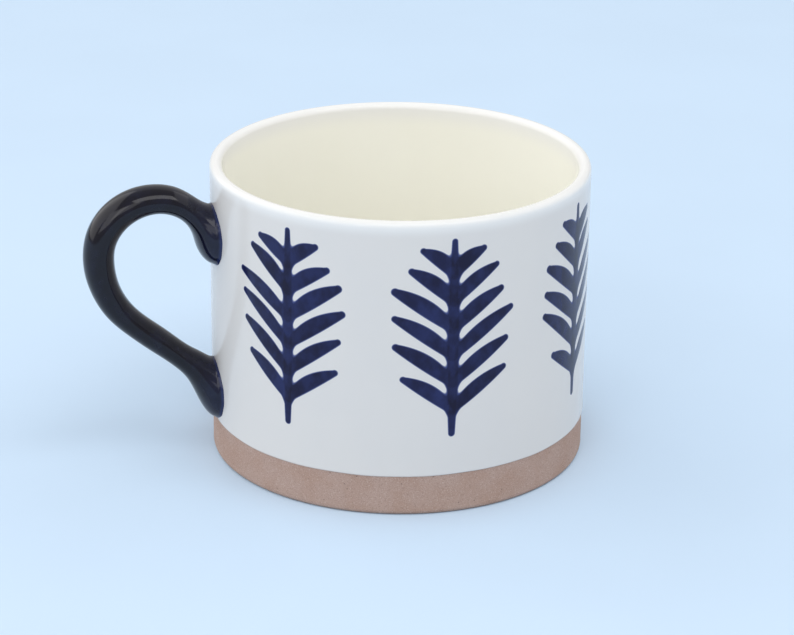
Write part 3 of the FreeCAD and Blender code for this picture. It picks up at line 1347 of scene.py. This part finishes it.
@dataclass
class Sprig:
    """A painted sprig: one design wrapped on the wall at one azimuth."""

    name: str
    azimuth: float
    sizes: CupSizes
    design: Design
    pitch: float = 0.3
    margin: float = 2.5
    junction: float = 1.3
    bleed: float = 0.2
    proud: float = 0.03
    sunk: float = 0.05
    stem_load: float = 0.55

    def stem_distance(self, across: Array, height: Array) -> Array:
        """How far outside the stem each place is: the distance from its line less its half width.

        The line is a parabola through the three leans, and the width is straight between widths.

        Args:
            across: millimetres along the wall from the stem.
            height: millimetres.

        Returns:
            Millimetres, negative inside.
        """
        s = self.design.stem
        held = np.clip(height, s.bottom, s.top)
        u = (s.top - held) / (s.top - s.bottom)
        a, b, c = s.lean
        middle = a * (1 - u) * (1 - 2 * u) + b * 4 * u * (1 - u) + c * u * (2 * u - 1)
        width = np.interp(u, np.linspace(0.0, 1.0, len(s.widths)), s.widths)
        return np.hypot(across - middle, height - held) - width / 2.0

    def stroke_distance(self, stroke: Stroke, across: Array, height: Array) -> tuple[Array, Array]:
        """How far outside a stroke each place is, and how far along it the nearest point is.

        The centre line is the chord from root to tip plus a parabola of height bend, and the half
        width is the parabola through the three widths.

        Args:
            stroke: the stroke.
            across: millimetres along the wall from the stem.
            height: millimetres.

        Returns:
            Millimetres, negative inside, and shares from 0 to 1.
        """
        run, rise = stroke.tip_reach, stroke.tip_height - stroke.root_height
        length = math.hypot(run, rise)
        t = np.clip((across * run + (height - stroke.root_height) * rise) / length**2, 0.0, 1.0)
        off = stroke.bend * 4 * t * (1 - t)
        x = t * run - off * rise / length
        z = stroke.root_height + t * rise + off * run / length
        width = (
            stroke.root_width * (1 - t) * (1 - 2 * t)
            + stroke.middle_width * 4 * t * (1 - t)
            + stroke.tip_width * t * (2 * t - 1)
        )
        return np.hypot(across - x, height - z) - width / 2.0, t

    def paint(self, across: Array, height: Array) -> tuple[Array, Array]:
        """How deep inside the paint each place is, and how much pigment it carries.

        Strokes join the stem with small rounded corners: two distances blend by a smooth minimum.
        The load is each stroke's own, rising towards its tip, and higher where strokes cross.

        Args:
            across: millimetres along the wall from the stem.
            height: millimetres.

        Returns:
            Millimetres, positive inside, and loads from 0 to 1.
        """
        total = self.stem_distance(across, height)
        nearest = total.copy()
        load = np.full(across.shape, self.stem_load) + 0.08 * np.sin(height / 5.0 + self.azimuth)
        layers = (total < -0.2).astype(float)
        for stroke in self.design.strokes:
            distance, t = self.stroke_distance(stroke, across, height)
            share = np.clip(0.5 + 0.5 * (total - distance) / self.junction, 0.0, 1.0)
            total = (
                total * (1 - share) + distance * share - self.junction * share * (1 - share)
            )
            layers += smooth_step(0.4, -0.4, distance)
            over = smooth_step(0.6, -0.6, distance - nearest)
            own = stroke.load + (stroke.tip_load - stroke.load) * t
            load = load * (1 - over) + own * over
            nearest = np.minimum(nearest, distance)
        return -total, np.clip(load + 0.2 * np.clip(layers - 1.0, 0.0, 1.0), 0.0, 1.0)

    def patch(self) -> tuple[Array, Array, Array]:
        """The painted area of the unrolled wall, cut into triangles on the paint's edge.

        A square grid is split into triangles. Grid points close to the edge move onto it, and each
        triangle that the edge crosses is cut there, by straight interpolation.

        Returns:
            Columns of across, height, depth and load; triangles; and the edge's directed sides.
        """
        reach = max(abs(s.tip_reach) + s.tip_width for s in self.design.strokes) + self.margin
        low, high = 14.0, self.sizes.height - 0.25
        across = np.arange(-reach, reach, self.pitch)
        height = np.arange(low, high, self.pitch)
        grid = np.stack(np.meshgrid(across, height), axis=-1)
        depth = self.paint(grid[..., 0], grid[..., 1])[0] + self.bleed
        slope = np.stack(np.gradient(depth, self.pitch)[::-1], axis=-1)
        steep = np.maximum((slope**2).sum(-1), 0.25)
        close = np.abs(depth) < 0.3 * self.pitch * np.sqrt(steep)
        grid = grid - np.where(close, depth / steep, 0.0)[..., None] * slope
        value = np.where(close, 0.0, depth).ravel()
        places = grid.reshape(-1, 2)
        index = np.arange(value.size).reshape(depth.shape)
        a, b, c, d = index[:-1, :-1], index[:-1, 1:], index[1:, 1:], index[1:, :-1]
        halves = [np.stack([a, b, c], -1), np.stack([a, c, d], -1)]
        triangles = np.concatenate([h.reshape(-1, 3) for h in halves])
        inside = value[triangles] > 0.0
        count = inside.sum(axis=1)
        kept = [triangles[count == 3]]
        mixed, state = triangles[(count % 3) > 0], inside[(count % 3) > 0]
        single = state.sum(axis=1) == 1
        odd = np.argmax(state == single[:, None], axis=1)
        mixed = np.take_along_axis(mixed, (odd[:, None] + np.arange(3)) % 3, axis=1)
        ends = np.concatenate([mixed[:, [0, 1]], mixed[:, [0, 2]]])
        share = value[ends[:, 0]] / (value[ends[:, 0]] - value[ends[:, 1]])
        cuts = places[ends[:, 0]] * (1 - share[:, None]) + places[ends[:, 1]] * share[:, None]
        first = value.size + np.arange(len(mixed))
        second = first + len(mixed)
        kept.append(np.stack([mixed[:, 0], first, second], -1)[single])
        kept.append(np.stack([first, mixed[:, 1], mixed[:, 2]], -1)[~single])
        kept.append(np.stack([first, mixed[:, 2], second], -1)[~single])
        triangles = np.concatenate(kept)
        places = np.concatenate([places, cuts])
        _, only, same = np.unique(
            np.round(places / 1e-4).astype(np.int64), axis=0, return_index=True, return_inverse=True
        )
        triangles = same.ravel()[triangles]
        real = (
            (triangles[:, 0] != triangles[:, 1])
            & (triangles[:, 1] != triangles[:, 2])
            & (triangles[:, 2] != triangles[:, 0])
        )
        used, triangles = np.unique(triangles[real], return_inverse=True)
        triangles = triangles.reshape(-1, 3)
        places = places[only][used]
        sides = np.concatenate([triangles[:, [0, 1]], triangles[:, [1, 2]], triangles[:, [2, 0]]])
        forward = sides[:, 0] * len(places) + sides[:, 1]
        backward = sides[:, 1] * len(places) + sides[:, 0]
        return places, triangles, sides[~np.isin(forward, backward)]

    def build(self, finish: bpy.types.Material) -> bpy.types.Object:
        """Wrap the patch on the wall as a closed film: a face out, a face in and a thin side.

        Args:
            finish: the paint's material.

        Returns:
            The piece.
        """
        places, triangles, edge = self.patch()
        across, height = places.T
        depth, load = self.paint(across, height)
        wall = Wall(self.sizes)
        azimuth = math.radians(self.azimuth) + across / self.sizes.cup_radius
        swell = 0.006 + self.proud * smooth_step(-self.bleed, 0.8, depth)
        count = len(places)
        points = np.vstack(
            [
                wall.place(azimuth, height, swell),
                wall.place(azimuth, height, np.full(count, -self.sunk)),
            ]
        )
        sides = np.stack([edge[:, 1], edge[:, 0], edge[:, 0] + count, edge[:, 1] + count], -1)
        faces = [np.vstack([triangles, triangles[:, ::-1] + count]), sides]
        numbers = {"depth": np.tile(depth, 2), "load": np.tile(load, 2)}
        return add_piece(self.name, points, faces, finish, numbers)


@dataclass
class SprigBand:
    """Six sprigs round the cup, with a wider space at the handle."""

    sizes: CupSizes
    azimuths: tuple[float, ...] = (-48.0, 2.0, 52.0, 106.0, 160.0, 214.0)
    rule: LeafRule = field(default_factory=LeafRule)

    def build(self, finish: Finish) -> list[bpy.types.Object]:
        """Paint every sprig.

        Args:
            finish: the paint's finish.

        Returns:
            The pieces.
        """
        material = finish.material()
        plain = self.rule.design(self.sizes)
        sprigs = [
            Sprig(f"sprig_{index + 1}", azimuth, self.sizes, plain.by_hand(index + 1))
            for index, azimuth in enumerate(self.azimuths)
        ]
        return [sprig.build(material) for sprig in sprigs]


# ---------------------------------------------------------------- the studio


@dataclass(frozen=True)
class Softbox:
    """A soft square light that faces the mug. Metres, watts and degrees."""

    name: str
    azimuth: float
    elevation: float
    distance: float
    width: float
    height: float
    power: float
    colour: Colour = (1.0, 1.0, 1.0)

    def build(self, aim: Vector) -> None:
        """Place the light and turn it to the aim.

        Args:
            aim: the point that the light faces, in metres.

        Returns:
            Nothing.
        """
        light = bpy.data.lights.new(self.name, "AREA")
        light.shape = "RECTANGLE"
        light.size, light.size_y = self.width, self.height
        light.energy = self.power
        light.color = self.colour
        lamp = bpy.data.objects.new(self.name, light)
        bpy.context.scene.collection.objects.link(lamp)
        away = direction(self.azimuth, self.elevation)
        lamp.location = aim + away * self.distance
        lamp.rotation_euler = away.to_track_quat("Z", "Y").to_euler()


def direction(azimuth: float, elevation: float) -> Vector:
    """The unit vector towards that azimuth, 0 being -Y and 90 being +X, and elevation.

    Args:
        azimuth: degrees round the mug.
        elevation: degrees above level.

    Returns:
        A vector of length one.
    """
    a, e = math.radians(azimuth), math.radians(elevation)
    return Vector((math.sin(a) * math.cos(e), -math.cos(a) * math.cos(e), math.sin(e)))


@dataclass
class Studio:
    """The floor, the lights and the camera."""

    aim: Vector = field(default_factory=lambda: Vector((-0.0004, 0.0, 0.0329)))
    camera_azimuth: float = -13.97
    camera_elevation: float = 21.85
    camera_distance: float = 0.7312
    camera_roll: float = -0.683
    lens: float = 130.6
    floor_half: float = 4.0
    surround: Colour = (0.475, 0.475, 0.475)
    softboxes: tuple[Softbox, ...] = (
        Softbox("back", 175.0, 30.0, 2.2, 4.0, 2.2, 6.8, (0.98, 0.99, 1.0)),
        Softbox("left", -118.0, 31.0, 2.0, 3.0, 2.1, 22.5, (1.0, 0.99, 0.98)),
        Softbox("right", 88.0, 31.0, 2.0, 3.2, 2.1, 14.0),
        Softbox("key", -27.0, 33.0, 1.8, 0.9, 0.8, 2.8),
        Softbox("key_low", -50.0, 28.0, 1.8, 1.2, 1.0, 5.6),
        Softbox("front_high", 15.0, 62.0, 1.5, 1.4, 0.7, 7.9),
    )

    def build_floor(self, finish: Finish) -> None:
        """A wide level floor: a grid of points at height zero.

        Args:
            finish: the floor's finish.

        Returns:
            Nothing.
        """
        across = np.linspace(-self.floor_half, self.floor_half, 41)
        x, y = np.meshgrid(across, across)
        points = np.stack([x, y, np.zeros_like(x)], axis=-1).reshape(-1, 3)
        index = np.arange(points.shape[0]).reshape(x.shape)
        corners = [index[:-1, :-1], index[:-1, 1:], index[1:, 1:], index[1:, :-1]]
        mesh = bpy.data.meshes.new("floor")
        mesh.from_pydata(points.tolist(), [], np.stack(corners, -1).reshape(-1, 4).tolist())
        mesh.materials.append(finish.material())
        floor = bpy.data.objects.new("floor", mesh)
        bpy.context.scene.collection.objects.link(floor)

    def build_camera(self) -> None:
        """A long lens that looks down at the mug.

        Returns:
            Nothing.
        """
        data = bpy.data.cameras.new("camera")
        data.lens = self.lens
        data.sensor_width = 36.0
        data.clip_start, data.clip_end = 0.01, 50.0
        camera = bpy.data.objects.new("camera", data)
        bpy.context.scene.collection.objects.link(camera)
        away = direction(self.camera_azimuth, self.camera_elevation)
        turn = away.to_track_quat("Z", "Y").to_matrix().to_4x4()
        roll = Matrix.Rotation(math.radians(-self.camera_roll), 4, "Z")
        place = Matrix.Translation(self.aim + away * self.camera_distance)
        camera.matrix_world = place @ turn @ roll
        bpy.context.scene.camera = camera

    def build(self) -> None:
        """Set the world, the floor, the lights and the camera.

        Returns:
            Nothing.
        """
        world = bpy.data.worlds.new("studio")
        world.use_nodes = True
        background = world.node_tree.nodes["Background"]
        background.inputs["Color"].default_value = (*self.surround, 1.0)
        background.inputs["Strength"].default_value = 1.0
        bpy.context.scene.world = world
        bpy.context.scene.view_settings.view_transform = "Standard"
        self.build_floor(PaleFloor())
        for softbox in self.softboxes:
            softbox.build(self.aim)
        self.build_camera()


def dress_hidden_clay(finish: bpy.types.Material) -> None:
    """Give the CAD handle and its joints, which the dark glaze covers, the clay's finish.

    Args:
        finish: the bare clay's material.

    Returns:
        Nothing.
    """
    for node in ("handle", "upper_joint_slip", "lower_joint_slip"):
        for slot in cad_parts[node].material_slots:
            slot.material = finish


def main() -> None:
    """Build the cup, the handle, the sprigs and the studio.

    Returns:
        Nothing.
    """
    logging.basicConfig(level=logging.INFO, format="%(name)s %(message)s")
    sizes = CupSizes.from_frame()
    clay = ClayCup(sizes=sizes).build(SandyStoneware())
    dress_hidden_clay(clay.data.materials[0])
    white = ClearGlaze(
        "white_glaze",
        colour=(0.685, 0.665, 0.645),
        shade=(0.665, 0.65, 0.64),
        edge=(0.62, 0.56, 0.52),
        edge_low=sizes.glaze_line - 0.1,
        edge_high=sizes.glaze_line + 0.5,
        # Painted highlight: the lip colour is lighter than the wall's, for the light that the
        # upturned rim catches.
        lip=(0.79, 0.79, 0.78),
        lip_low=sizes.height - 4.0,
        lip_high=sizes.height - 0.6,
    )
    OuterCoat(sizes=sizes).build(white)
    # Painted light: this cream is a brighter, warmer copy of the white glaze that stands in for the
    # light and inter-reflections inside the cup. Towards the floor the painted tint turns darker
    # and yellower, and at the lip it fades to the whiter rim colour of the painted highlight.
    cream = ClearGlaze(
        "cream_glaze",
        colour=(0.90, 0.895, 0.825),
        shade=(0.89, 0.885, 0.81),
        edge=(0.885, 0.86, 0.76),
        edge_low=sizes.floor_height - 1.0,
        edge_high=sizes.floor_height + 30.0,
        lip=(0.82, 0.82, 0.81),
        lip_low=sizes.height - 6.5,
        lip_high=sizes.height - 0.4,
    )
    LinerCoat(sizes=sizes).build(cream)
    HandleCoat(sizes=sizes).build(NavyGlaze())
    SprigBand(sizes).build(CobaltPaint())
    Studio().build()


if __name__ == "__main__":
    main()
